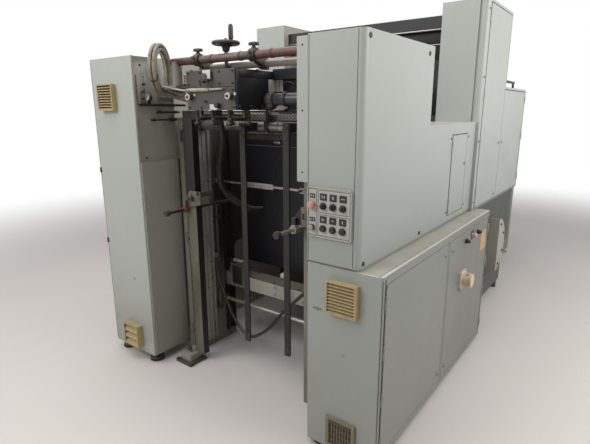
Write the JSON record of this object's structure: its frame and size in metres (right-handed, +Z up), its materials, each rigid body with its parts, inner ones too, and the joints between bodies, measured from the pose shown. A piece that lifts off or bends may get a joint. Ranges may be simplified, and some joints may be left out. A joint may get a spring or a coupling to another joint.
{
  "type": "offset printing press",
  "caption": "Sheet-fed offset press: feeder between two tall housings, hinged cabinet and unit doors, suction head, pile lift, printing unit and low delivery.",
  "frame": {"origin": "on the floor, on the centre line between the side frames, at the middle of the base pan under the printing unit", "axes": "+X to the side with the cabinet doors, +Y along the sheet travel from feeder to delivery, +Z up"},
  "size_m": [2.056, 4.044, 2.262],
  "materials": {
    "mint_paint": "satin grey-green enamel",
    "mint_inner": "dull grey-green enamel, dusty",
    "beige_plastic": "moulded beige plastic",
    "black_rubber": "matte black",
    "panel_plate": "pale grey enamel",
    "black_plastic": "moulded black plastic",
    "red_plastic": "glossy red plastic",
    "oily_steel": "oily brown-black steel",
    "rusty_steel": "red-brown surface rust",
    "bright_steel": "ground steel",
    "navy_paint": "dark navy enamel",
    "pale_paint": "light grey enamel",
    "hose": "ribbed grey-beige hose"
  },
  "bodies": {
    "press": {"left_tower": "mint_paint", "left_housing": "mint_paint", "tower_vents": "beige_plastic", "tower_feet": "black_rubber", "right_housing": "mint_paint", "right_strip": "mint_paint", "lower_cabinet": "mint_paint", "cabinet_feet": "black_rubber", "cabinet_vents": "beige_plastic", "control_panel": "panel_plate", "control_buttons": "black_plastic", "feeder_frames": "mint_inner", "guide_columns": "oily_steel", "column_feet": "pale_paint", "lift_rails": "bright_steel", "frame_rods": "bright_steel", "front_plate": "navy_paint", "side_guides": "rusty_steel", "hanging_guides": "oily_steel", "scale_bar": "bright_steel", "cross_tubes": "rusty_steel", "tube_clamps": "oily_steel", "suction_head": "oily_steel", "suction_feet": "bright_steel", "suction_hoses": "hose", "air_valve": "mint_inner", "tower_shelf": "oily_steel", "bay_hoses": "hose", "blower_pipe": "black_plastic", "head_beam": "navy_paint", "feed_board": "bright_steel", "unit_frames": "mint_inner", "base_pan": "oily_steel", "cylinders": "bright_steel", "ink_rollers": "black_rubber", "top_beams": "navy_paint", "unit_cover_right": "mint_paint", "unit_cover_left": "mint_paint", "base_panels": "mint_inner", "round_guard": "pale_paint", "delivery_frames": "mint_paint", "delivery_hood": "mint_paint", "delivery_table": "bright_steel"},
    "handwheel": {"handwheel": "black_plastic"},
    "lift_beam": {"lift_beam": "pale_paint"},
    "cabinet_door_front": {"cabinet_door_front": "mint_paint"},
    "cabinet_door_rear": {"cabinet_door_rear": "mint_paint", "power_inlet": "beige_plastic"},
    "service_door": {"service_door": "mint_paint"},
    "stop_button": {"stop_button": "red_plastic"},
    "unit_door_front": {"unit_door_front": "mint_paint"},
    "unit_door_rear": {"unit_door_rear": "mint_paint"}
  },
  "joints": [
    {"name": "handwheel_turn", "type": "hinge", "parent": "press", "child": "handwheel", "pos_m": [-0.04, -1.93, 1.94], "axis": [0, 0, 1], "continuous": true},
    {"name": "pile_lift", "type": "slide", "parent": "press", "child": "lift_beam", "axis": [0, 0, 1], "range_m": [-0.35, 0.36]},
    {"name": "front_cabinet_hinge", "type": "hinge", "parent": "press", "child": "cabinet_door_front", "pos_m": [1.022, -2.122, 0.48], "axis": [0, 0, -1], "range_deg": [0, 110]},
    {"name": "rear_cabinet_hinge", "type": "hinge", "parent": "press", "child": "cabinet_door_rear", "pos_m": [1.022, -0.562, 0.48], "axis": [0, 0, 1], "range_deg": [0, 110]},
    {"name": "service_hinge", "type": "hinge", "parent": "press", "child": "service_door", "pos_m": [0.912, -1.09, 1.22], "axis": [0, 0, -1], "range_deg": [0, 100]},
    {"name": "stop_press", "type": "slide", "parent": "press", "child": "stop_button", "axis": [0, 1, 0], "range_m": [0, 0.004], "stiffness_N_per_m": 600},
    {"name": "unit_front_hinge", "type": "hinge", "parent": "press", "child": "unit_door_front", "pos_m": [0.932, -0.604, 1.6], "axis": [0, 0, -1], "range_deg": [0, 110]},
    {"name": "unit_rear_hinge", "type": "hinge", "parent": "press", "child": "unit_door_rear", "pos_m": [0.932, 0.638, 1.3], "axis": [0, 0, 1], "range_deg": [0, 110]}
  ]
}
